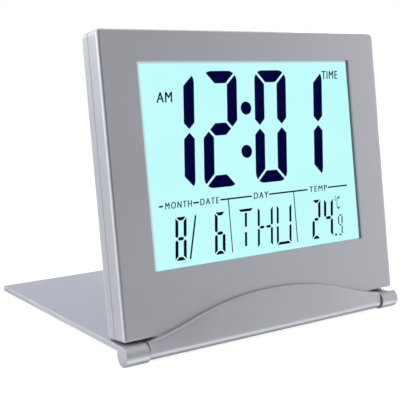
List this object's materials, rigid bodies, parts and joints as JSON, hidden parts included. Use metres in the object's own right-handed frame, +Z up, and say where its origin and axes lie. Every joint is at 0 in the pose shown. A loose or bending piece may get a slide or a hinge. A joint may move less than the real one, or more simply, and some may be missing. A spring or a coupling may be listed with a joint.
{
  "type": "folding digital alarm clock",
  "caption": "Thin silver travel alarm clock with a large backlit display, leaning back on its own hinged flip cover.",
  "frame": {"origin": "on the table, under the middle of the whole open clock", "axes": "+Z up, +X along the hinge to the right as seen from the front, +Y to the back, so the display faces -Y"},
  "size_m": [0.1142, 0.1024, 0.1001],
  "materials": {
    "silver_plastic": "silver paint on moulded plastic, satin",
    "lens": "clear, polished",
    "tape": "black adhesive foam",
    "polariser": "clear grey film",
    "glass": "polished",
    "pattern_dark": "driven dark strokes",
    "pattern_teal": "driven thin lines",
    "light_guide": "lit pale cyan, diffusing",
    "white_plastic": "moulded white",
    "white_film": "matt white film",
    "led": "clear resin",
    "zebra_rubber": "layered grey rubber",
    "board": "green solder resist over glass fibre",
    "black_resin": "cast resin",
    "bright_metal": "nickel plated",
    "component": "small ceramic chips",
    "brass": "rolled",
    "ceramic": "silvered ceramic",
    "wire_skin": "insulated",
    "cell_steel": "pressed steel can",
    "screw_steel": "zinc plated",
    "button_plastic": "moulded grey"
  },
  "bodies": {
    "case": {"backlight_leds": "led", "board_components": "component", "board_screws": "screw_steel", "button_domes": "bright_metal", "buzzer_ceramic": "ceramic", "buzzer_plate": "brass", "buzzer_wires": "wire_skin", "case_screws": "screw_steel", "chip_blob": "black_resin", "circuit_board": "board", "coin_cell": "cell_steel", "display_frame": "white_plastic", "display_lens": "lens", "front_bezel": "silver_plastic", "front_polariser": "polariser", "hinge_pin_left": "screw_steel", "hinge_pin_right": "screw_steel", "lcd_calendar_pattern": "pattern_dark", "lcd_front_glass": "glass", "lcd_rear_glass": "glass", "lcd_rule_lines": "pattern_teal", "lcd_time_pattern": "pattern_dark", "lens_tape": "tape", "light_guide": "light_guide", "negative_contact": "bright_metal", "positive_contact": "bright_metal", "quartz_crystal": "bright_metal", "rear_case": "silver_plastic", "rear_polariser": "polariser", "reflector_film": "white_film", "temperature_sensor": "black_resin", "zebra_strip": "zebra_rubber"},
    "lid": {"lid": "silver_plastic"},
    "battery_door": {"battery_door": "silver_plastic"},
    "mode_button": {"mode_button": "button_plastic"},
    "set_button": {"set_button": "button_plastic"},
    "up_button": {"up_button": "button_plastic"},
    "down_button": {"down_button": "button_plastic"},
    "light_button": {"light_button": "button_plastic"}
  },
  "joints": [
    {"name": "lid_hinge", "type": "hinge", "parent": "case", "child": "lid", "pos_m": [0, -0.04806, 0.00315], "axis": [-1, 0, 0], "range_deg": [0, 276.37]},
    {"name": "battery_door_turn", "type": "hinge", "parent": "case", "child": "battery_door", "pos_m": [-0.028, -0.033, 0.03945], "axis": [0, 0.9879, -0.1551], "range_deg": [0, 45]},
    {"name": "mode_press", "type": "slide", "parent": "case", "child": "mode_button", "axis": [0, -0.9879, 0.1551], "range_m": [0, 0.00045], "stiffness_N_per_m": 2000},
    {"name": "set_press", "type": "slide", "parent": "case", "child": "set_button", "axis": [0, -0.9879, 0.1551], "range_m": [0, 0.00045], "stiffness_N_per_m": 2000},
    {"name": "up_press", "type": "slide", "parent": "case", "child": "up_button", "axis": [0, -0.9879, 0.1551], "range_m": [0, 0.00045], "stiffness_N_per_m": 2000},
    {"name": "down_press", "type": "slide", "parent": "case", "child": "down_button", "axis": [0, -0.9879, 0.1551], "range_m": [0, 0.00045], "stiffness_N_per_m": 2000},
    {"name": "light_press", "type": "slide", "parent": "case", "child": "light_button", "axis": [0, -0.9879, 0.1551], "range_m": [0, 0.00045], "stiffness_N_per_m": 2000}
  ]
}
